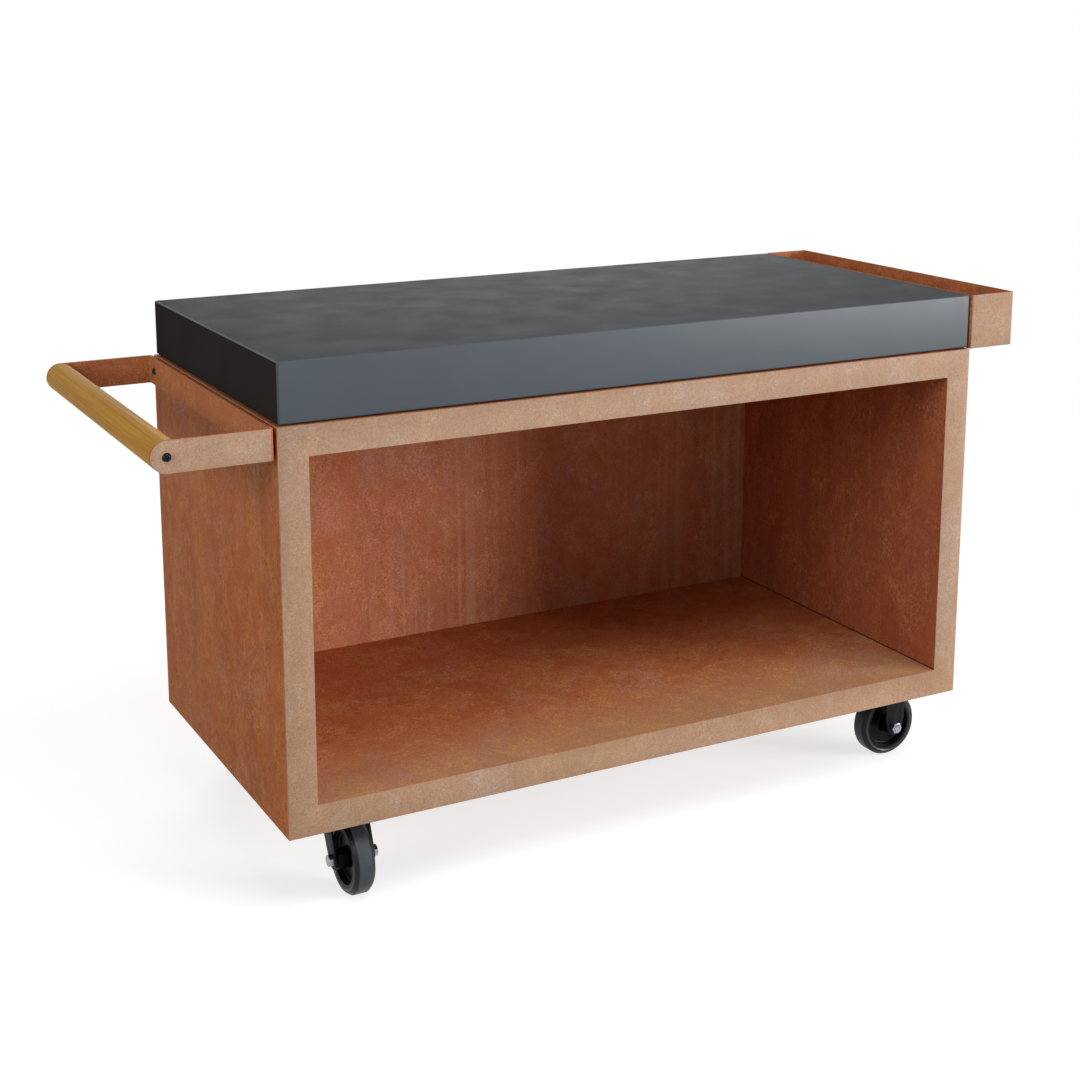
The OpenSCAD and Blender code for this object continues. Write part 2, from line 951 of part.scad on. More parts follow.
module kingpin_nuts() {
  color(zinc)
    for (side = SIDES)
      at_swivel(side)
        translate([0, 0, z_crown - fork_t - kingpin_gap])
          mirror([0, 0, 1])
            hex_nut(kingpin_hex);
}

module swivel_balls() {
  color(zinc)
    for (side = SIDES)
      at_swivel(side)
        for (i = [0 : ball_n - 1])
          rotate([0, 0, i * 360 / ball_n])
            translate([ball_r, 0, (z_race + z_crown) / 2])
              sphere(d = ball_d);
}

module caster_bolts() {
  color(zinc)
    caster_bolt_places(z_mount - plate_t)
      mirror([0, 0, 1])
        hex_bolt(bolt_8, bolt_grip + nut_8[2] + bolt_tail);
}

module caster_nuts() {
  color(zinc)
    caster_bolt_places(z_mount - plate_t + bolt_grip)
      hex_nut(nut_8);
}

// What turns with a swivel caster's fork
module swivel_fork_front() {
  at_swivel(FRONT)
    swivel_fork();
}

module swivel_bolt_front() {
  at_swivel(FRONT)
    on_axle(trail)
      axle_bolt();
}

module swivel_nut_front() {
  at_swivel(FRONT)
    on_axle(trail)
      axle_nut();
}

module swivel_sleeve_front() {
  at_swivel(FRONT)
    on_axle(trail)
      axle_sleeve();
}

module swivel_fork_rear() {
  at_swivel(REAR)
    swivel_fork();
}

module swivel_bolt_rear() {
  at_swivel(REAR)
    on_axle(trail)
      axle_bolt();
}

module swivel_nut_rear() {
  at_swivel(REAR)
    on_axle(trail)
      axle_nut();
}

module swivel_sleeve_rear() {
  at_swivel(REAR)
    on_axle(trail)
      axle_sleeve();
}

// The places of the four wheels
module swivel_wheel(side) {
  at_swivel(side)
    on_axle(trail)
      children();
}

module rigid_wheel(side) {
  at_rigid(side)
    on_axle(0)
      children();
}

front_frame();
side_panel_left();
side_panel_right();
rear_panel();
top_deck();
base_pan();
bay_floor();
bay_ceiling();
bay_wall_left();
bay_wall_right();
base_channels();
deck_channels();
worktop_plate();
worktop_long_aprons();
worktop_end_aprons();
worktop_bearers();
worktop_pads();
planter_trough();
planter_screws();
planter_nuts();
handle_bracket();
handle_grip();
grip_inserts();
grip_screws();
handle_spacers();
handle_screws();
handle_nuts();
rigid_fork_front();
rigid_fork_rear();
rigid_axle_bolts();
rigid_axle_nuts();
rigid_axle_sleeves();
swivel_plate_front();
swivel_plate_rear();
kingpins();
kingpin_nuts();
swivel_balls();
caster_bolts();
caster_nuts();
swivel_fork_front();
swivel_bolt_front();
swivel_nut_front();
swivel_sleeve_front();
swivel_fork_rear();
swivel_bolt_rear();
swivel_nut_rear();
swivel_sleeve_rear();
swivel_wheel(FRONT) tyre();  // tyre_swivel_front
swivel_wheel(FRONT) wheel_core();  // core_swivel_front
swivel_wheel(FRONT) wheel_bush();  // bush_swivel_front
swivel_wheel(REAR) tyre();  // tyre_swivel_rear
swivel_wheel(REAR) wheel_core();  // core_swivel_rear
swivel_wheel(REAR) wheel_bush();  // bush_swivel_rear
rigid_wheel(FRONT) tyre();  // tyre_rigid_front
rigid_wheel(FRONT) wheel_core();  // core_rigid_front
rigid_wheel(FRONT) wheel_bush();  // bush_rigid_front
rigid_wheel(REAR) tyre();  // tyre_rigid_rear
rigid_wheel(REAR) wheel_core();  // core_rigid_rear
rigid_wheel(REAR) wheel_bush();  // bush_rigid_rear
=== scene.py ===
# Looks of the prep table: a weathering-steel cabinet on casters with a stone worktop, a planter
# trough and a wooden push handle.
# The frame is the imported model's: X runs to the planter, Y to the rear and Z up. Sizes are in
# metres. Those of screws, hexagons, turned profiles and softened edges are in millimetres.
import json
import math

import bmesh
import bpy
from mathutils import Matrix, Vector

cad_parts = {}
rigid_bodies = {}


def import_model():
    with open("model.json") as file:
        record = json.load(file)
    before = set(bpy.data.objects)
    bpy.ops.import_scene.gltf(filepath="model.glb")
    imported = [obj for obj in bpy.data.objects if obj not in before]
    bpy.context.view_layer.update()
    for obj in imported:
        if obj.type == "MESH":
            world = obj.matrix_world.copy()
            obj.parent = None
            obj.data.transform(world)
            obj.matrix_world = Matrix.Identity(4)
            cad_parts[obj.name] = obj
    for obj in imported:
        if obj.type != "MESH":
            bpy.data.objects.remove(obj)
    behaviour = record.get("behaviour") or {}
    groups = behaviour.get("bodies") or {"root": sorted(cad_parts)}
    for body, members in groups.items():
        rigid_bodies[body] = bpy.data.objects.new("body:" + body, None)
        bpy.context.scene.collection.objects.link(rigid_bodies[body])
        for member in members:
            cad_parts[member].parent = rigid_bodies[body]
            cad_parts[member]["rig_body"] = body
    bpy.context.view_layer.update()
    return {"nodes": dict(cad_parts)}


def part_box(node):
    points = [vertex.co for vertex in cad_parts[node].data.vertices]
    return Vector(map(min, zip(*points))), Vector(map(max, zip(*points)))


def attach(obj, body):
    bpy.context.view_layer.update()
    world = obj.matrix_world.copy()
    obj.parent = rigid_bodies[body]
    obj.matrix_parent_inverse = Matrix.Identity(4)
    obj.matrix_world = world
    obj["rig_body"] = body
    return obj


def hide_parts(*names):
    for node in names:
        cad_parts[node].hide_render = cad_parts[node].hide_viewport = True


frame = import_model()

MM = 0.001
NODES = frame["nodes"]
FULL_TURN = 2 * math.pi


# Camera, lights and floor

LAMPS = (                   # name, place, target, size and power
    ("key", (8.2, -6.6, 2.2), (0.1, 0, 0.45), (4.5, 3.6), 1060),
    ("over", (0.5, -2.8, 5.6), (0.1, 0, 0.45), (3.2, 2.4), 108),
    ("back", (2.6, 5.6, 3.2), (0, 0, 0.5), (4.0, 3.0), 170),
    ("left", (-5.0, -1.8, 2.4), (0.1, 0, 0.45), (2.2, 2.0), 96),
)
AMBIENT = 0.2               # the world's strength where it lights the object
FLOOR_HALF = 30.0
FLOOR_TONE = 0.5
FLOOR_LIFT = 0.70           # added where the camera sees the floor, to make it white in the light
FLOOR_FADE = (1.1, 2.6)     # over these distances the floor turns into the plain background
WHITE = (1, 1, 1, 1)


def add_camera():
    """The photograph's place and angle. The small shift frames the object without more tilt."""
    data = bpy.data.cameras.new("camera")
    data.sensor_width = 36
    data.lens = 59.455
    data.shift_y = -0.16
    data.clip_end = 100
    camera = bpy.data.objects.new("camera", data)
    camera.location = (-1.5048, -2.8185, 1.4353)
    camera.rotation_euler = (math.radians(90 - 11.438), 0, math.radians(-28.013))
    bpy.context.collection.objects.link(camera)
    bpy.context.scene.camera = camera


def add_lamp(name, place, target, size, power):
    data = bpy.data.lights.new(name, "AREA")
    data.shape = "RECTANGLE"
    data.size, data.size_y = size
    data.energy = power
    light = bpy.data.objects.new(name, data)
    light.location = place
    aim = Vector(target) - Vector(place)
    light.rotation_euler = aim.to_track_quat("-Z", "Y").to_euler()
    bpy.context.collection.objects.link(light)


def add_world():
    """White to the camera and in reflections, and dimmer where it lights the object."""
    world = bpy.data.worlds.new("studio")
    bpy.context.scene.world = world
    world.use_nodes = True
    tree = Nodes(world.node_tree)
    strength = tree.add("ShaderNodeMix", data_type="FLOAT", inputs={"A": AMBIENT, "B": 1.0})
    tree.link(tree.seen_as_background(), strength.inputs["Factor"])
    background = tree.add("ShaderNodeBackground", inputs={"Color": WHITE})
    tree.link(strength.outputs["Result"], background.inputs["Strength"])
    output = tree.add("ShaderNodeOutputWorld")
    tree.link(background.outputs["Background"], output.inputs["Surface"])


def add_floor():
    """A floor that keeps the object's shadow, and is lifted to white where the camera sees it."""
    mesh = bpy.data.meshes.new("floor")
    corners = [(x * FLOOR_HALF, y * FLOOR_HALF, 0) for x, y in ((-1, -1), (1, -1), (1, 1), (-1, 1))]
    mesh.from_pydata(corners, [], [(0, 1, 2, 3)])
    floor = bpy.data.objects.new("floor", mesh)
    bpy.context.collection.objects.link(floor)
    material, tree = new_material("floor")
    seen = tree.seen_as_background()
    tone = (FLOOR_TONE, FLOOR_TONE, FLOOR_TONE, 1)
    diffuse = tree.add("ShaderNodeBsdfDiffuse", inputs={"Color": tone})
    lift = tree.add("ShaderNodeEmission", inputs={"Color": WHITE})
    tree.link(tree.times(seen, FLOOR_LIFT), lift.inputs["Strength"])
    near = tree.add("ShaderNodeAddShader")
    tree.link(diffuse.outputs[0], near.inputs[0])
    tree.link(lift.outputs[0], near.inputs[1])
    # away from the object the floor turns into the plain white background
    distance = tree.add("ShaderNodeVectorMath", operation="LENGTH")
    tree.link(tree.place(), distance.inputs[0])
    away = tree.add("ShaderNodeMapRange", interpolation_type="SMOOTHSTEP", inputs={
        "From Min": FLOOR_FADE[0], "From Max": FLOOR_FADE[1]})
    tree.link(distance.outputs["Value"], away.inputs["Value"])
    white = tree.add("ShaderNodeEmission", inputs={"Color": WHITE, "Strength": 1.0})
    both = tree.add("ShaderNodeMixShader")
    tree.link(tree.times(seen, away.outputs["Result"]), both.inputs[0])
    tree.link(near.outputs[0], both.inputs[1])
    tree.link(white.outputs[0], both.inputs[2])
    output = tree.add("ShaderNodeOutputMaterial")
    tree.link(both.outputs[0], output.inputs["Surface"])
    mesh.materials.append(material)


def add_studio():
    bpy.context.scene.view_settings.view_transform = "Standard"
    for lamp in LAMPS:
        add_lamp(*lamp)
    add_world()
    add_floor()


# Material nodes

class Nodes:
    """A small wrapper that makes and links nodes."""

    def __init__(self, tree):
        self.tree = tree
        tree.nodes.clear()
        self.coordinates = None

    def add(self, kind, inputs=None, **settings):
        node = self.tree.nodes.new(kind)
        for name, value in settings.items():
            setattr(node, name, value)
        for name, value in (inputs or {}).items():
            node.inputs[name].default_value = value
        return node

    def link(self, output, target):
        self.tree.links.new(output, target)

    def seen_as_background(self):
        """1 where the camera, a reflection or a refraction looks, and 0 where light is gathered."""
        path = self.add("ShaderNodeLightPath").outputs
        seen = self.math("MAXIMUM", path["Is Camera Ray"], path["Is Glossy Ray"])
        return self.math("MAXIMUM", seen, path["Is Transmission Ray"])

    def place(self, scale=(1, 1, 1), turn=(0, 0, 0), shift=(0, 0, 0)):
        """The object's own coordinates in metres, turned by degrees, scaled and shifted."""
        if self.coordinates is None:
            self.coordinates = self.add("ShaderNodeTexCoord").outputs["Object"]
        source = self.coordinates
        if any(turn):
            angles = [math.radians(a) for a in turn]
            turned = self.add("ShaderNodeMapping", inputs={"Rotation": angles})
            self.link(source, turned.inputs["Vector"])
            source = turned.outputs["Vector"]
        mapping = self.add("ShaderNodeMapping", inputs={"Scale": scale, "Location": shift})
        self.link(source, mapping.inputs["Vector"])
        return mapping.outputs["Vector"]

    def axis(self, name):
        """One of the object's own coordinates, in metres."""
        split = self.add("ShaderNodeSeparateXYZ")
        self.link(self.place(), split.inputs[0])
        return split.outputs[name]

    def noise(self, frequency, detail=3.0, roughness=0.5, distortion=0.0, **placing):
        """Noise about 0.5. placing is what place takes."""
        node = self.add("ShaderNodeTexNoise", inputs={
            "Scale": frequency, "Detail": detail, "Roughness": roughness, "Distortion": distortion})
        self.link(self.place(**placing), node.inputs["Vector"])
        return node.outputs["Fac"]

    def ramp(self, value, *stops):
        """A ramp from value to numbers, given as (position, number) pairs."""
        node = self.add("ShaderNodeValToRGB")
        elements = node.color_ramp.elements
        while len(elements) < len(stops):
            elements.new(0.5)
        for element, (position, number) in zip(elements, stops):
            element.position = position
            element.color = (number, number, number, 1)
        self.link(value, node.inputs["Fac"])
        return node.outputs["Color"]

    def math(self, operation, a, b):
        """A calculation with two values, each an output or a number."""
        node = self.add("ShaderNodeMath", operation=operation)
        for i, value in enumerate((a, b)):
            if isinstance(value, (int, float)):
                node.inputs[i].default_value = value
            else:
                self.link(value, node.inputs[i])
        return node.outputs[0]

    def times(self, a, b):
        return self.math("MULTIPLY", a, b)

    def blend(self, factor, a, b):
        """Mixes two colours, each an output or a tuple."""
        node = self.add("ShaderNodeMix", data_type="RGBA")
        self.link(factor, node.inputs[0])
        for socket, value in ((6, a), (7, b)):
            if isinstance(value, tuple):
                node.inputs[socket].default_value = (*value, 1)
            else:
                self.link(value, node.inputs[socket])
        return node.outputs[2]

    def bump(self, *layers):
        """Stacks (height, depth in metres, strength) layers of bump."""
        normal = None
        for height, depth, strength in layers:
            node = self.add("ShaderNodeBump", inputs={"Distance": depth, "Strength": strength})
            self.link(height, node.inputs["Height"])
            if normal is not None:
                self.link(normal, node.inputs["Normal"])
            normal = node.outputs["Normal"]
        return normal

    def finish(self, colour, roughness, normal, **fixed):
        """The shader. fixed names more of its inputs, with _ for each space."""
        shader = self.add("ShaderNodeBsdfPrincipled")
        for name, value in fixed.items():
            shader.inputs[name.replace("_", " ")].default_value = value
        self.link(colour, shader.inputs["Base Color"])
        self.link(roughness, shader.inputs["Roughness"])
        self.link(normal, shader.inputs["Normal"])
        output = self.add("ShaderNodeOutputMaterial")
        self.link(shader.outputs["BSDF"], output.inputs["Surface"])


def new_material(name):
    material = bpy.data.materials.new(name)
    material.use_nodes = True
    return material, Nodes(material.node_tree)


# Materials

RAGGED = 0.08               # the bounds of a paler strip wander within this width
PALER_SHARE = 0.85           # how much of the paler colour the strip takes on
FOOT_SHADE_H = 0.004              # the painted shade along the sheet's foot stays below this height
FOOT_SHADE_SHARE = 0.3            # the painted shade's colour as a share of the rust's
SPARKLE = 1.45              # the stone's bright grains as a multiple of its lighter tone
WOOD_LIGHT = (0.560, 0.300, 0.054)
WOOD_DARK = (0.465, 0.222, 0.034)
WOOD_LINE = (0.290, 0.125, 0.018)
WOOD_PORE = (0.190, 0.080, 0.014)


def weathered_steel(name, base, warm, ochre, deep, grey, stretch=1.0, runs=0.3, streaks=0.0,
                    pale=None, worms=0.6, rust=0.5, specks=0.5, scratches=0.0, grains=0.42,
                    size=1.0, thin=0.03, paler_band=None, foot_shade=None, gloss=0.3, shift=(0, 0, 0)):
    """Weathering steel: soft patches, run marks, ochre mottling, dark rust, specks and scratches.

    base and warm are the patches, ochre the mottling, deep the rust and the run marks, and grey
    the specks and scratches. pale is the streaks' colour, which is grey where it isn't given.
    stretch below 1 draws the mottling out down the upright faces, size makes it larger, and thin
    is how far from the noise's middle its lines reach. A strip given as (axis, start, end, colour)
    turns paler along that axis; on the bay floor it is painted light. A band at the foot of the
    sheet, given by its height, is painted shade where the sheet meets the floor.
    The other numbers are the strengths of the layers, and shift sets the pattern apart.
    """
    material, tree = new_material(name)

    def moved(x=0, y=0, z=0):
        return (shift[0] + x, shift[1] + y, shift[2] + z)

    def drawn(frequency, detail, roughness, distortion, low, high, place=shift):
        """Noise that stretch draws out, from 0 where it is low to 1 where it is high."""
        scale = (frequency, frequency, frequency * stretch)
        value = tree.noise(1.0, detail, roughness, distortion, scale=scale, shift=place)
        return tree.ramp(value, (low, 0), (high, 1))

    def contours(frequency, distortion, half):
        """Swirled noise, and the thin lines where it passes its middle."""
        scale = (frequency, frequency, frequency * stretch)
        value = tree.noise(1.0, 1.5, 0.5, distortion, scale=scale, shift=shift)
        stops = ((0.46 - half, 0), (0.5 - half, 1), (0.5 + half, 1), (0.54 + half, 0))
        return value, tree.ramp(value, *stops)

    # large soft patches, some redder and some ochre
    colour = tree.blend(drawn(5.5, 4, 0.6, 0.6, 0.38, 0.62), base, warm)
    clouds = drawn(17, 5, 0.62, 0.8, 0.44, 0.68, moved(x=2))
    colour = tree.blend(tree.times(clouds, 0.16 * worms), colour, ochre)
    # a strip that turns paler along an axis; on the bay floor this is painted light
    if paler_band is not None:
        axis, start, end, paler_colour = paler_band
        uneven = tree.times(tree.noise(7, 4, 0.6, 0.5, shift=shift), RAGGED)
        across = tree.math("ADD", tree.axis(axis), tree.math("SUBTRACT", uneven, RAGGED / 2))
        strip = tree.math("DIVIDE", tree.math("SUBTRACT", across, start), end - start)
        colour = tree.blend(tree.ramp(strip, (0, 0), (1, PALER_SHARE)), colour, paler_colour)
    bruise = drawn(10, 5, 0.66, 1.0, 0.50, 0.70, moved(y=3))
    colour = tree.blend(tree.times(bruise, 0.3 * rust), colour, deep)

    # soft run marks down the upright faces
    run = tree.noise(1.0, 3, 0.5, 0.8, scale=(15, 15, 1.6), shift=shift)
    colour = tree.blend(tree.times(tree.ramp(run, (0.42, 0), (0.66, 1)), runs), colour, deep)
    # pale, thin streaks beside them, stronger on some stretches of the sheet
    streak = tree.noise(1.0, 3, 0.55, 0.3, scale=(46, 46, 0.9), shift=moved(x=4))
    stretches = drawn(1.7, 2, 0.5, 0.3, 0.40, 0.62, moved(x=5))
    streak = tree.times(tree.ramp(streak, (0.48, 0), (0.64, 1)), stretches)
    colour = tree.blend(tree.times(streak, streaks), colour, pale or grey)

    # worm-like mottling: thin contour lines of swirled noise, broken up into groups
    coarse = 120 / size
    swirl, lines = contours(coarse, 1.4, thin)
    fine, fine_lines = contours(2 * coarse, 1.2, thin + 0.01)
    groups = drawn(15, 5, 0.74, 0.9, 0.46, 0.64, moved(x=1, y=1))
    both = tree.math("MAXIMUM", tree.times(lines, 0.9), tree.times(fine_lines, 0.75))
    both = tree.times(both, tree.math("ADD", tree.times(groups, 0.66), 0.34))
    colour = tree.blend(tree.times(both, worms), colour, ochre)

    # dark pin-holes and grain
    pits = tree.ramp(tree.noise(300 / size, 4, 0.7, 0.8, shift=shift), (0.56, 0), (0.68, 1))
    colour = tree.blend(tree.times(pits, rust), colour, deep)
    grain = tree.noise(560, 2, 0.6, 0.0, shift=shift)
    colour = tree.blend(tree.times(tree.ramp(grain, (0.38, 0), (0.62, 1)), grains), colour, deep)

    # grey specks, which gather in clusters of small curls, and feathery scratches
    beside = (shift[0] + 3.1, shift[1] + 1.7, 0.4)
    clusters = tree.ramp(tree.noise(6.0, 5, 0.72, 0.8, shift=beside), (0.49, 0), (0.60, 1))
    curls = tree.noise(230 / size, 1.5, 0.5, 1.6, shift=moved(z=5))
    fleck = tree.ramp(curls, (0.56, 0), (0.59, 1), (0.62, 1), (0.66, 0.2))
    marks = tree.times(tree.times(fleck, clusters), specks)
    scratch = tree.noise(1.0, 3, 0.65, 0.8, scale=(70, 70, 620), turn=(0, 40, 0))
    scratch = tree.ramp(scratch, (0.54, 0), (0.61, 1))
    beside = (shift[0] + 3.4, shift[1] + 1.7, 0.4)
    scuffed = tree.ramp(tree.noise(5.0, 4, 0.65, 0.6, shift=beside), (0.58, 0), (0.68, 1))
    scratch = tree.times(tree.times(scratch, scuffed), scratches)
    colour = tree.blend(tree.math("MAXIMUM", marks, scratch), colour, grey)

    # painted shade: a dark band along the foot of the sheet, where it meets the floor
    if foot_shade is not None:
        above = tree.math("DIVIDE", tree.math("SUBTRACT", tree.axis("Z"), foot_shade), FOOT_SHADE_H)
        shade = tuple(FOOT_SHADE_SHARE * c for c in deep)
        colour = tree.blend(tree.ramp(above, (0.4, 0.9), (0.95, 0)), colour, shade)
    roughness = tree.ramp(swirl, (0.3, 0.86), (0.7, 0.70))
    swell = tree.noise(45, 3, shift=shift)
    normal = tree.bump((fine, 0.0002, 0.4), (grain, 0.00012, 0.5), (swell, 0.0006, 0.35))
    tree.finish(colour, roughness, normal, Specular_IOR_Level=gloss)
    return material


def worn_edge(name, base, light):
    """The paler, rubbed line along a steel edge."""
    material, tree = new_material(name)
    rub = tree.ramp(tree.noise(70, 4, 0.65, 0.4), (0.38, 0), (0.62, 1))
    grain = tree.noise(700, 2)
    roughness = tree.ramp(grain, (0.3, 0.62), (0.7, 0.5))
    normal = tree.bump((grain, 0.0001, 0.4))
    tree.finish(tree.blend(rub, base, light), roughness, normal, Specular_IOR_Level=0.4)
    return material


def honed_stone(name, base, light, gloss=0.06, rough=(0.62, 0.74), shift=(0, 0, 0)):
    """Dark fine-grained stone with soft clouds and a matt, honed face."""
    material, tree = new_material(name)
    clouds = tree.ramp(tree.noise(2.6, 4, 0.5, 0.9, shift=shift), (0.34, 0), (0.68, 1))
    colour = tree.blend(clouds, base, light)
    small = tree.ramp(tree.noise(24, 4, 0.6, 0.5), (0.35, 0), (0.7, 1))
    colour = tree.blend(tree.times(small, 0.25), colour, light)
    grain = tree.noise(850, 3, 0.65)
    dots = tree.times(tree.ramp(grain, (0.35, 0), (0.65, 1)), 0.22)
    colour = tree.blend(dots, colour, tuple(SPARKLE * c for c in light))
    roughness = tree.ramp(tree.noise(14, 4, 0.6), (0.3, rough[0]), (0.7, rough[1]))
    normal = tree.bump((grain, 0.00006, 0.5), (tree.noise(9, 3), 0.0005, 0.12))
    tree.finish(colour, roughness, normal, Specular_IOR_Level=gloss)
    return material


def oiled_wood(name):
    """Straight-grained golden wood, its growth lines running along Y."""
    material, tree = new_material(name)
    lines = tree.noise(1.0, 5, 0.66, 0.25, scale=(430, 3.0, 430))
    broad = tree.noise(1.0, 3, 0.5, 0.5, scale=(38, 2.2, 38), shift=(1.3, 0, 0.7))
    colour = tree.blend(tree.ramp(broad, (0.34, 0), (0.66, 1)), WOOD_DARK, WOOD_LIGHT)
    colour = tree.blend(tree.ramp(lines, (0.46, 0), (0.66, 0.55)), colour, WOOD_LINE)
    # faint growth rings about a line that runs along the grip
    rings = tree.add("ShaderNodeTexWave", wave_type="RINGS", rings_direction="Y", inputs={
        "Scale": 48.0, "Distortion": 5.0, "Detail": 3.0, "Detail Scale": 0.35})
    tree.link(tree.place(shift=(0.83, 0, -0.755)), rings.inputs["Vector"])
    faint = tree.ramp(rings.outputs["Fac"], (0.55, 0), (0.95, 0.15))
    colour = tree.blend(faint, colour, WOOD_LINE)
    pores = tree.noise(1.0, 2, 0.6, 0.0, scale=(900, 26, 900))
    dashes = tree.times(tree.ramp(pores, (0.60, 0), (0.70, 1)), 0.28)
    colour = tree.blend(dashes, colour, WOOD_PORE)
    roughness = tree.ramp(lines, (0.3, 0.46), (0.7, 0.60))
    normal = tree.bump((lines, 0.0002, 0.35), (pores, 0.00012, 0.4))
    tree.finish(colour, roughness, normal, Specular_IOR_Level=0.03)
    return material


def plain_detail(name, colour, other, roughness, scale=60, depth=0.00005, **fixed):
    """A moulded, painted or plated surface: slight changes of tone and gloss, and a fine grain."""
    material, tree = new_material(name)
    tone = tree.ramp(tree.noise(scale, 4, 0.6), (0.35, 0), (0.65, 1))
    grain = tree.noise(700, 2, 0.6)
    low, high = roughness
    patches = tree.noise(scale * 0.7, 3, 0.55, shift=(0.5, 0.2, 0.9))
    gloss = tree.ramp(patches, (0.3, low), (0.7, high))
    normal = tree.bump((grain, depth, 0.4))
    tree.finish(tree.blend(tone, colour, other), gloss, normal, **fixed)
    return material


# The steel's paler copy for faces in the front plane: the front light's sheen is painted into its
# colour. It also turns paler towards the top.
STEEL_LIT_FACE = weathered_steel(
    "steel_face_lit", base=(0.385, 0.226, 0.124), warm=(0.415, 0.240, 0.152),
    ochre=(0.60, 0.425, 0.26), deep=(0.24, 0.112, 0.064), grey=(0.40, 0.42, 0.46),
    stretch=0.75, runs=0.15, worms=0.58, rust=0.42, specks=0.7, scratches=0.75,
    paler_band=("Z", 0.35, 0.72, (0.428, 0.270, 0.182)))
STEEL_SIDE = weathered_steel(
    "steel_side", base=(0.40, 0.108, 0.034), warm=(0.44, 0.122, 0.043),
    ochre=(0.68, 0.30, 0.088), deep=(0.22, 0.050, 0.018), grey=(0.36, 0.31, 0.30),
    stretch=0.7, runs=0.36, streaks=0.14, worms=0.75, rust=0.34, specks=0.45, size=1.7,
    gloss=0.12, shift=(0.3, 0.9, 0.2))
# The handle bracket's steel for its faces out of the front plane. The rear arm's inner face also
# faces the front but takes this darker copy: painted shade.
STEEL_BAR = weathered_steel(
    "steel_bar", base=(0.43, 0.132, 0.049), warm=(0.475, 0.149, 0.062),
    ochre=(0.72, 0.35, 0.12), deep=(0.235, 0.06, 0.025), grey=(0.38, 0.34, 0.34),
    stretch=0.9, runs=0.1, worms=0.7, rust=0.4, thin=0.02, gloss=0.12, shift=(0.9, 1.9, 1.2))
STEEL_BACK = weathered_steel(
    "steel_back", base=(0.48, 0.147, 0.068), warm=(0.53, 0.178, 0.088),
    ochre=(0.86, 0.44, 0.20), deep=(0.22, 0.053, 0.026), grey=(0.42, 0.41, 0.46),
    stretch=0.8, runs=0.2, streaks=0.6, pale=(0.64, 0.35, 0.25), worms=0.85, rust=0.45,
    specks=0.6, grains=0.22, thin=0.006, gloss=0.15, shift=(1.3, 0.4, 0.7))
# The bay's walls and ceiling. The walls' foot takes a band of painted shade where they meet the
# floor.
STEEL_WALL = weathered_steel(
    "steel_wall", base=(0.365, 0.097, 0.042), warm=(0.405, 0.110, 0.050),
    ochre=(0.70, 0.29, 0.112), deep=(0.17, 0.034, 0.015), grey=(0.36, 0.27, 0.24),
    stretch=0.6, streaks=0.1, worms=0.8, specks=0.3, grains=0.34, size=1.3, thin=0.006,
    foot_shade=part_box("bay_wall_right")[0].z, gloss=0.1, shift=(0.7, 2.1, 0.4))
# The bay floor. Its front part is painted paler: painted light and sheen where light falls in
# through the opening.
STEEL_FLOOR = weathered_steel(
    "steel_floor", base=(0.42, 0.098, 0.033), warm=(0.46, 0.112, 0.040),
    ochre=(0.78, 0.42, 0.140), deep=(0.22, 0.052, 0.020), grey=(0.42, 0.38, 0.36),
    runs=0.0, worms=0.95, rust=0.45, specks=0.7, grains=0.3, thin=0.008,
    paler_band=("Y", -0.10, -0.28, (0.45, 0.245, 0.133)), gloss=0.15, shift=(2.3, 0.1, 0.3))
EDGE_FACE = worn_edge("edge_face", (0.31, 0.140, 0.084), (0.42, 0.205, 0.125))
EDGE_SIDE = worn_edge("edge_side", (0.40, 0.145, 0.065), (0.52, 0.24, 0.125))
STONE = honed_stone(
    "stone_face", (0.0315, 0.041, 0.052), (0.0405, 0.0525, 0.065), gloss=0.5, rough=(0.42, 0.50))
STONE_TOP = honed_stone(
    "stone_top", (0.0376, 0.0401, 0.0416), (0.0403, 0.0427, 0.0446), gloss=0.025,
    shift=(0.6, 0.2, 0))
# The slab's end faces are painted darker than its front and top: painted shade.
STONE_END = honed_stone(
    "stone_end", (0.028, 0.0245, 0.0235), (0.034, 0.030, 0.029), gloss=0.0, shift=(1.6, 0.2, 0))
# A lighter, glossier stone for the rounded arrises: a painted highlight along the edges.
STONE_EDGE_HIGHLIGHT = honed_stone(
    "stone_edge_highlight", (0.044, 0.052, 0.060), (0.058, 0.067, 0.076), gloss=0.25, rough=(0.46, 0.54))
WOOD = oiled_wood("wood")
PAINT = plain_detail(
    "black_paint", (0.0030, 0.0035, 0.0045), (0.005, 0.0055, 0.007), (0.36, 0.48),
    depth=0.00008, Specular_IOR_Level=0.10)
RUBBER = plain_detail(
    "tyre_rubber", (0.0040, 0.0048, 0.0058), (0.0065, 0.0075, 0.0090), (0.40, 0.50),
    depth=0.0001, Specular_IOR_Level=0.2)
# A paler grey for the tread: its sheen is painted into the colour.
TREAD = plain_detail(
    "tyre_tread", (0.030, 0.035, 0.041), (0.043, 0.049, 0.057), (0.42, 0.54),
    depth=0.00012, Specular_IOR_Level=0.3)
LIP = plain_detail(
    "tyre_lip", (0.010, 0.011, 0.012), (0.014, 0.015, 0.017), (0.20, 0.28),
    depth=0.00004, Specular_IOR_Level=1.0)
PLASTIC = plain_detail(
    "core_plastic", (0.0014, 0.0016, 0.0020), (0.0026, 0.0028, 0.0034), (0.28, 0.38),
    Specular_IOR_Level=0.08)
BLACK_STEEL = plain_detail(
    "black_steel", (0.0020, 0.0024, 0.0034), (0.0045, 0.0052, 0.0068), (0.20, 0.30),
    scale=200, Specular_IOR_Level=0.15)
ZINC = plain_detail(
    "zinc", (0.27, 0.28, 0.29), (0.38, 0.39, 0.41), (0.20, 0.34), scale=240, Metallic=1.0)
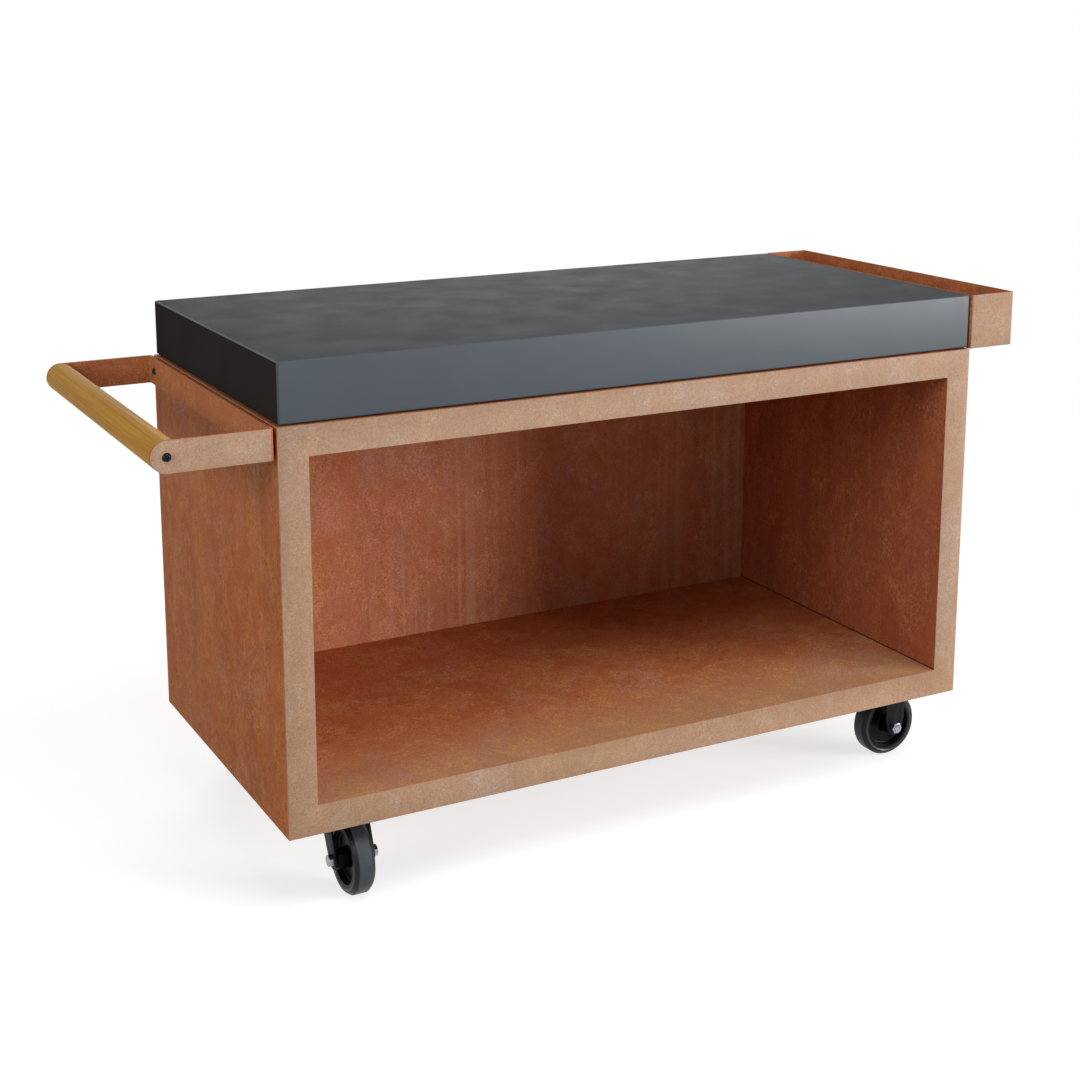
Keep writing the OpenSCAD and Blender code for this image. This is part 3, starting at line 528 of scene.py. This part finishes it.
BALL_STEEL = plain_detail(
    "ball_steel", (0.72, 0.73, 0.75), (0.78, 0.79, 0.81), (0.08, 0.16), scale=300,
    depth=0.00001, Metallic=1.0)
ALUMINIUM = plain_detail(
    "aluminium", (0.66, 0.67, 0.68), (0.74, 0.75, 0.76), (0.34, 0.46), Metallic=1.0)
PAD = plain_detail("pad_rubber", (0.022, 0.022, 0.022), (0.034, 0.034, 0.034), (0.7, 0.85))
NYLON = plain_detail("bush_nylon", (0.70, 0.68, 0.62), (0.78, 0.76, 0.70), (0.4, 0.5))


# Mesh helpers

SAME_PLACE = 1e-6           # vertices closer than this, in metres, become one
FLAT_ANGLE = math.radians(1)
SOFTENED_ANGLE = math.radians(32)       # edges that turn more than this are softened
ROUNDED_SHARE = 0.45        # the most of a side that the rounding of one corner takes


def add_piece(name, bm, materials, body, replaces, sharp=40):
    """A piece from bm, which is used up. Edges that turn more than sharp degrees stay sharp."""
    mesh = bpy.data.meshes.new(name)
    bmesh.ops.recalc_face_normals(bm, faces=bm.faces)
    bm.to_mesh(mesh)
    bm.free()
    for polygon in mesh.polygons:
        polygon.use_smooth = True
    if sharp:
        mesh.set_sharp_from_angle(angle=math.radians(sharp))
    for material in materials:
        mesh.materials.append(material)
    piece = bpy.data.objects.new(name, mesh)
    bpy.context.collection.objects.link(piece)
    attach(piece, body)
    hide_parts(*replaces)
    return piece


def body_of(node):
    return NODES[node]["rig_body"]


def soften(node, width, materials, pick=None, segments=2, edge=None):
    """A copy of a CAD node with rounded edges.

    pick(normal, centre) gives the index of a face's material, and edge that of the rounding.
    """
    bm = bmesh.new()
    bm.from_mesh(NODES[node].data)
    bmesh.ops.remove_doubles(bm, verts=bm.verts, dist=SAME_PLACE)
    bmesh.ops.dissolve_limit(bm, angle_limit=FLAT_ANGLE, verts=bm.verts, edges=bm.edges)
    bm.normal_update()
    for face in bm.faces:
        face.material_index = pick(face.normal, face.calc_center_median()) if pick else 0
    piece = add_piece("soft_" + node, bm, materials, body_of(node), (node,), sharp=0)
    bevel = piece.modifiers.new("edges", "BEVEL")
    bevel.width = width * MM
    bevel.segments = segments
    bevel.limit_method = "ANGLE"
    bevel.angle_limit = SOFTENED_ANGLE
    bevel.harden_normals = True
    if edge is not None:
        bevel.material = edge


def keep(nodes, material):
    """CAD nodes whose shape stays, with a finish of their own."""
    for node in nodes:
        for place in NODES[node].material_slots:
            place.material = material


def turns(count):
    return [FULL_TURN * k / count for k in range(count)]


def polar(radius, angle, height):
    """A point in metres, from millimetres."""
    return (radius * MM * math.cos(angle), radius * MM * math.sin(angle), height * MM)


def circle_points(radius, height, count=48):
    return [polar(radius, a, height) for a in turns(count)]


def ring(bm, points, matrix=None):
    """New vertices at points, which matrix moves."""
    return [bm.verts.new(matrix @ Vector(p) if matrix else Vector(p)) for p in points]


def bridge(bm, rings, closed=False):
    """Faces between rings of vertices, which have the same count or are single points."""
    pairs = list(zip(rings, rings[1:]))
    if closed:
        pairs.append((rings[-1], rings[0]))
    for low, high in pairs:
        count = max(len(low), len(high))
        for i in range(count):
            j = (i + 1) % count
            if len(low) == 1:
                bm.faces.new((low[0], high[j], high[i]))
            elif len(high) == 1:
                bm.faces.new((low[i], low[j], high[0]))
            else:
                bm.faces.new((low[i], low[j], high[j], high[i]))


def lathe(bm, profile, matrix, count, closed=True):
    """Turns a profile of (radius, height) about local Z. A radius of 0 closes in a point."""
    rings = []
    for radius, height in profile:
        points = circle_points(radius, height, count) if radius else [(0, 0, height * MM)]
        rings.append(ring(bm, points, matrix))
    bridge(bm, rings, closed)


def round_path(points, steps=4):
    """A 2-D path from (x, y, radius) points, with its corners rounded by their radius."""
    result = []
    for i, (*here, r) in enumerate(points):
        here = Vector(here)
        if r == 0:
            result.append(tuple(here))
            continue
        before, after = Vector(points[i - 1][:2]), Vector(points[(i + 1) % len(points)][:2])
        a, b = (before - here).normalized(), (after - here).normalized()
        most = ROUNDED_SHARE * min((before - here).length, (after - here).length)
        reach = min(r / math.tan(a.angle(b) / 2), most)
        start, end = here + a * reach, here + b * reach
        for k in range(steps + 1):
            t = k / steps
            q = start * (1 - t) ** 2 + here * 2 * t * (1 - t) + end * t ** 2
            result.append(tuple(q))
    return result


def mirrored(side):
    """A closed profile from its half above height 0, given as round_path's points."""
    other = [(radius, -height, rounding) for radius, height, rounding in reversed(side)]
    return round_path(side + other)


def along(place, direction):
    """A matrix that puts local Z on direction at place."""
    turn = Vector((0, 0, 1)).rotation_difference(Vector(direction))
    return Matrix.Translation(Vector(place)) @ turn.to_matrix().to_4x4()


# Hexagons, in millimetres

CHAMFER_SLOPE = math.tan(math.radians(30))
CHAMFER_FROM = 0.965        # the turned face's radius as a share of the distance to a side


def hex_radius(angle, across):
    """Distance from the middle of a hexagon to its side at an angle."""
    sixth = math.radians(60)
    return across / 2 / math.cos(angle % sixth - sixth / 2)


def hexagon_points(across, height, count=48):
    return [polar(hex_radius(a, across), a, height) for a in turns(count)]


def chamfered_hexagon(across, low, high, chamfer_low, chamfer_high, count=48):
    """A hexagon's rings from its low to its high face. Chamfered faces have turned-off corners."""
    inner = across / 2 * CHAMFER_FROM

    def end(height, inward, chamfered):
        if not chamfered:
            return [hexagon_points(across, height, count)]
        edge = []
        for a in turns(count):
            r = hex_radius(a, across)
            edge.append(polar(r, a, height + inward * (r - inner) * CHAMFER_SLOPE))
        return [circle_points(inner, height, count), edge]

    return end(low, 1, chamfer_low) + end(high, -1, chamfer_high)[::-1]


# Cabinet

FRONT_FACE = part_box("front_frame")[0].y
FRONT_PLAY = 0.5 * MM       # faces this near the front plane count as lying in it
FACES_FRONT = -0.7          # a normal whose Y is below this faces the front


def front_plane_lit(normal, centre):
    """Material 0, with the front light's sheen painted in, for faces in the front plane; 1 for
    others.
    """
    return 0 if normal.y < FACES_FRONT and centre.y < FRONT_FACE + FRONT_PLAY else 1


def add_cabinet():
    finishes = (STEEL_LIT_FACE, STEEL_SIDE, EDGE_FACE)
    # the faces in the front plane take the copy with the painted sheen
    soften("front_frame", 0.6, finishes, front_plane_lit, edge=2)
    for node in ("side_panel_left", "side_panel_right"):
        soften(node, 0.7, (STEEL_SIDE, EDGE_SIDE), edge=1)
    keep(("top_deck", "base_pan", "base_channels", "deck_channels"), STEEL_SIDE)
    keep(("rear_panel",), STEEL_BACK)
    keep(("bay_wall_left", "bay_wall_right", "bay_ceiling"), STEEL_WALL)
    keep(("bay_floor",), STEEL_FLOOR)


# Worktop

STONE_T = 12 * MM
INNER_R = 1.0 * MM
ARRIS_R = 2.5 * MM
CORNER_R = 3.5 * MM
ARRIS_STEPS = 6
CORNER_STEPS = 8
SQUARE = 0.985              # a flat side's normal has a part above this
MAINLY = 0.72               # a normal mainly points along an axis if that part is above this
LOOKS_DOWN = -0.2           # rounded edges whose normal's Z is below this don't take the painted highlight
STONE_FINISHES = (STONE, STONE_TOP, STONE_END, STONE_EDGE_HIGHLIGHT)


def rounded_outline(x0, x1, y0, y1, r, z):
    """A rectangle with round corners, anticlockwise, at height z."""
    points = []
    right, left, rear, front = x1 - r, x0 + r, y1 - r, y0 + r
    corners = ((right, rear, 0), (left, rear, 90), (left, front, 180), (right, front, 270))
    for cx, cy, start in corners:
        for k in range(CORNER_STEPS + 1):
            a = math.radians(start + 90 * k / CORNER_STEPS)
            points.append((cx + r * math.cos(a), cy + r * math.sin(a), z))
    return points


def stone_finish(normal):
    """The index in STONE_FINISHES of a face: rounded edge (painted highlight), level,
    end (painted shade), or else long side.
    """
    if normal.z > LOOKS_DOWN and max(abs(c) for c in normal) < SQUARE:
        return 3
    if abs(normal.z) > MAINLY:
        return 1
    # the ends take the darker stone: painted shade
    if abs(normal.x) > MAINLY:
        return 2
    return 0


def add_worktop():
    """The plate and its edge strips as one hollow slab with rounded arrises."""
    plate_lo, plate_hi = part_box("worktop_plate")
    apron_lo, apron_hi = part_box("worktop_long_aprons")
    x0, x1, y0, y1 = plate_lo.x, plate_hi.x, plate_lo.y, plate_hi.y
    z0, z1 = apron_lo.z, plate_hi.z
    bm = bmesh.new()

    def outline(inset, z, radius):
        return ring(bm, rounded_outline(x0 + inset, x1 - inset, y0 + inset, y1 - inset, radius, z))

    quarter = [math.radians(90 * k / ARRIS_STEPS) for k in range(ARRIS_STEPS + 1)]
    levels = [(ARRIS_R * (1 - math.sin(a)), z0 + ARRIS_R * (1 - math.cos(a))) for a in quarter]
    levels += [(ARRIS_R * (1 - math.cos(a)), z1 - ARRIS_R * (1 - math.sin(a))) for a in quarter]
    rings = [outline(STONE_T, z1 - STONE_T, INNER_R), outline(STONE_T, z0, INNER_R)]
    rings += [outline(inset, z, CORNER_R - inset) for inset, z in levels]
    bridge(bm, rings)
    bm.faces.new(rings[-1])
    bm.faces.new(list(reversed(rings[0])))
    bm.normal_update()
    for face in bm.faces:
        face.material_index = stone_finish(face.normal)
    add_piece("worktop", bm, STONE_FINISHES, "cart",
              ("worktop_plate", "worktop_long_aprons", "worktop_end_aprons"), sharp=50)
    keep(("worktop_bearers",), ALUMINIUM)
    keep(("worktop_pads",), PAD)


# Planter

def add_planter():
    finishes = (STEEL_LIT_FACE, STEEL_SIDE, EDGE_SIDE)
    # the trough's front face takes the copy with the painted sheen
    soften("planter_trough", 0.45, finishes, front_plane_lit, edge=2)
    keep(("planter_screws",), BLACK_STEEL)
    keep(("planter_nuts",), ZINC)


# Handle, in millimetres

BAR_T = 5.0                 # thickness of the bracket's bar
GRIP_BORE, GRIP_BORE_DEPTH = 6.05, 32.0         # radius and depth of the bores in its ends
GRIP_END_R = 2.2            # rounding of the grip's ends
HEAD_R, HEAD_H = 7.0, 4.4
HEAD_BREAK = 0.15           # the broken edge round the head's seat
SHANK_R = 4.0
GRIP_SCREW_L, BRACKET_SCREW_L = 33.0, 19.8
SOCKET, SOCKET_DEPTH = 5.0, 2.6
SOCKET_LIP = 0.35           # from the socket's corners to the start of the dome
SOCKET_SINK = 0.08          # how far the socket's mouth lies below the dome
DOME_STEPS = 7
DOME_LOW = 0.2              # the dome's least height above the seat


def button_screw(bm, matrix, length):
    """A domed screw with a hexagon socket, seated at local z = 0 with its head above."""
    dome_r = (HEAD_R ** 2 + HEAD_H ** 2) / (2 * HEAD_H)

    def dome(r):
        return HEAD_H - dome_r + math.sqrt(dome_r ** 2 - r ** 2)

    lip = SOCKET / 2 / math.cos(math.radians(30)) + SOCKET_LIP
    radii = [HEAD_R - (HEAD_R - lip) * k / DOME_STEPS for k in range(1, DOME_STEPS + 1)]
    profile = [(SHANK_R, -length), (SHANK_R, 0), (HEAD_R - HEAD_BREAK, 0), (HEAD_R, HEAD_BREAK)]
    profile += [(r, max(dome(r), DOME_LOW)) for r in radii]
    outside = [circle_points(r, z) for r, z in profile]
    heights = (dome(lip) - SOCKET_SINK, HEAD_H - SOCKET_DEPTH)
    inside = [hexagon_points(SOCKET, z) for z in heights]
    rings = [ring(bm, points, matrix) for points in outside + inside]
    bridge(bm, rings)
    bm.faces.new(list(reversed(rings[0])))
    bm.faces.new(rings[-1])


def add_handle():
    finishes = (STEEL_LIT_FACE, STEEL_BAR, EDGE_SIDE)
    # the front arm's outer face takes the painted-sheen copy, and the rear arm's inner face takes
    # the darker bar copy as painted shade
    soften("handle_bracket", 0.8, finishes, front_plane_lit, edge=2)
    lo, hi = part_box("handle_grip")
    centre = (lo + hi) / 2
    radius = (hi.z - lo.z) / 2 / MM
    half = (hi.y - lo.y) / 2 / MM
    outer = round_path([
        (GRIP_BORE, half, 0), (radius, half, GRIP_END_R), (radius, -half, GRIP_END_R),
        (GRIP_BORE, -half, 0)], steps=5)
    bottom = half - GRIP_BORE_DEPTH
    profile = [(0, bottom), (GRIP_BORE, bottom)] + outer + [(GRIP_BORE, -bottom), (0, -bottom)]
    bm = bmesh.new()
    lathe(bm, profile, along(centre, (0, 1, 0)), 72, closed=False)
    add_piece("grip", bm, (WOOD,), "cart", ("handle_grip",))
    keep(("grip_inserts", "handle_nuts"), ZINC)
    keep(("handle_spacers",), BLACK_STEEL)

    # the screws' seats are the outer faces of the arms and the inner face of the web
    bracket_lo, bracket_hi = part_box("handle_bracket")
    bm = bmesh.new()
    for y in (bracket_lo.y, bracket_hi.y):
        seat = (centre.x, y, centre.z)
        button_screw(bm, along(seat, (0, math.copysign(1, y), 0)), GRIP_SCREW_L)
    add_piece("grip_buttons", bm, (BLACK_STEEL,), "cart",
              ("grip_screws",), sharp=35)
    lo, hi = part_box("handle_screws")
    bm = bmesh.new()
    for y in (lo.y + HEAD_R * MM, hi.y - HEAD_R * MM):
        seat = (bracket_hi.x - BAR_T * MM, y, centre.z)
        button_screw(bm, along(seat, (-1, 0, 0)), BRACKET_SCREW_L)
    add_piece("handle_buttons", bm, (BLACK_STEEL,), "cart",
              ("handle_screws",), sharp=35)


# Casters, in millimetres

WHEEL_R = 62.5
LEG_OUT = 35.0              # from a wheel's middle to the outer face of a leg
HEX_ACROSS, HEX_H = 19.0, 8.0
AXLE_R = 6.0
AXLE_BREAK = 0.9            # the chamfer at the end of a bolt and of a nut's bore
AXLE_OUT = 1.0              # how far a bolt's end stands out of its nut
BORE_PLAY = 0.1
DISH_DEPTH = 0.35           # of the round dish in a bolt's head
DISH_RADII = (5.2, 8.4, 8.8)            # its cap, floor and rim
LIP_IN, LIP_OUT = 51.9, 54.3            # the tyre's lip is glossier between these radii
TREAD_R = 61.9              # outside it the tyre takes a paler grey, the tread's sheen painted in
WHEELS = {                  # direction from the bolt's head to its nut
    "swivel_front": (1, 0, 0),
    "swivel_rear": (-1, 0, 0),
    "rigid_front": (0, -1, 0),
    "rigid_rear": (0, 1, 0),
}


def axle(wheel):
    lo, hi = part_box("tyre_" + wheel)
    return along((lo + hi) / 2, WHEELS[wheel])


def tyre_profile():
    """The tyre from its bore out over lip and shoulder to the tread."""
    half, lip_r, shoulder_r, tread = 18.25, 53.8, 56.5, 11.25
    bore, inner = 48.55, 16.75
    return mirrored([
        (bore, inner, 0), (lip_r - 1.6, inner, 0.5), (lip_r - 0.6, half, 0.7),
        (shoulder_r, half, 1.0), (WHEEL_R, tread, 1.2),
    ])


def core_profile():
    """The core from the hub's bore out over hub, web and rim."""
    hub_end, hub_r, bore = 30.0, 17.5, 10.55
    web, rim_in, rim_out, rim_half = 5.0, 44.0, 48.5, 16.75
    return mirrored([
        (bore, hub_end, 0.4), (hub_r - 4.0, hub_end, 0.5), (hub_r - 3.2, hub_end - 1.0, 0.4),
        (hub_r - 0.6, hub_end - 1.0, 0.5), (hub_r, web, 3.5), (rim_in - 1.6, web, 3.5),
        (rim_in - 0.6, rim_half - 5.0, 0.5), (rim_in + 0.6, rim_half - 5.0, 0.4),
        (rim_in + 0.9, rim_half, 0.6), (rim_out, rim_half, 0.5),
    ])


def axle_bolt(bm, matrix):
    """A hexagon bolt through both legs, with a shallow dish in its head."""
    top = -LEG_OUT - HEX_H
    end = LEG_OUT + HEX_H + AXLE_OUT
    levels = (top + DISH_DEPTH, top + DISH_DEPTH, top)
    dish = [circle_points(r, z) for r, z in zip(DISH_RADII, levels)]
    head = chamfered_hexagon(HEX_ACROSS, top, -LEG_OUT, True, False)
    shank = [circle_points(r, z) for r, z in (
        (AXLE_R, -LEG_OUT), (AXLE_R, end - AXLE_BREAK), (AXLE_R - AXLE_BREAK, end))]
    rings = [ring(bm, points, matrix) for points in dish + head + shank]
    bridge(bm, rings)
    bm.faces.new(list(reversed(rings[0])))
    bm.faces.new(rings[-1])


def axle_nut(bm, matrix):
    bore = AXLE_R + BORE_PLAY
    top = LEG_OUT + HEX_H
    outside = chamfered_hexagon(HEX_ACROSS, LEG_OUT, top, False, True)
    inside = [circle_points(r, z) for r, z in (
        (bore + AXLE_BREAK, top), (bore, top - AXLE_BREAK), (bore, LEG_OUT))]
    rings = [ring(bm, points, matrix) for points in outside + inside]
    bridge(bm, rings, closed=True)


def tyre_finish(radius):
    """The index of the tyre's material: rubber, glossy lip, or tread with its painted sheen."""
    if radius > TREAD_R:
        return 2
    return 1 if LIP_IN < radius < LIP_OUT else 0


def add_wheel(wheel):
    body = "wheel_" + wheel
    bm = bmesh.new()
    lathe(bm, tyre_profile(), axle(wheel), 128)
    centre = axle(wheel).translation
    for face in bm.faces:
        reach = face.calc_center_median() - centre
        outward = reach - reach.project(Vector(WHEELS[wheel]))
        face.material_index = tyre_finish(outward.length / MM)
    add_piece("tyre_" + wheel + "_turned", bm, (RUBBER, LIP, TREAD), body,
              ("tyre_" + wheel,), sharp=60)
    bm = bmesh.new()
    lathe(bm, core_profile(), axle(wheel), 96)
    add_piece("core_" + wheel + "_moulded", bm, (PLASTIC,), body,
              ("core_" + wheel,), sharp=60)
    keep(("bush_" + wheel,), NYLON)


def add_hexagons(node, make, body, wheels):
    """The bolts or nuts of one node, on the axles of its wheels."""
    bm = bmesh.new()
    for wheel in wheels:
        make(bm, axle(wheel))
    add_piece("hex_" + node, bm, (ZINC,), body, (node,), sharp=30)


def add_casters():
    for wheel in WHEELS:
        add_wheel(wheel)
    for side in ("front", "rear"):
        for node in ("rigid_fork_" + side, "swivel_fork_" + side):
            soften(node, 0.8, (PAINT,), segments=3)
        soften("swivel_plate_" + side, 0.5, (PAINT,))
        swivel = "swivel_" + side
        add_hexagons("swivel_bolt_" + side, axle_bolt, swivel, (swivel,))
        add_hexagons("swivel_nut_" + side, axle_nut, swivel, (swivel,))
        keep(("swivel_sleeve_" + side,), ZINC)
    add_hexagons("rigid_axle_bolts", axle_bolt, "cart", ("rigid_front", "rigid_rear"))
    add_hexagons("rigid_axle_nuts", axle_nut, "cart", ("rigid_front", "rigid_rear"))
    for node in ("caster_bolts", "kingpin_nuts"):
        soften(node, 0.4, (ZINC,))
    keep(("rigid_axle_sleeves", "kingpins", "caster_nuts"), ZINC)
    keep(("swivel_balls",), BALL_STEEL)


add_camera()
add_studio()
add_cabinet()
add_worktop()
add_planter()
add_handle()
add_casters()
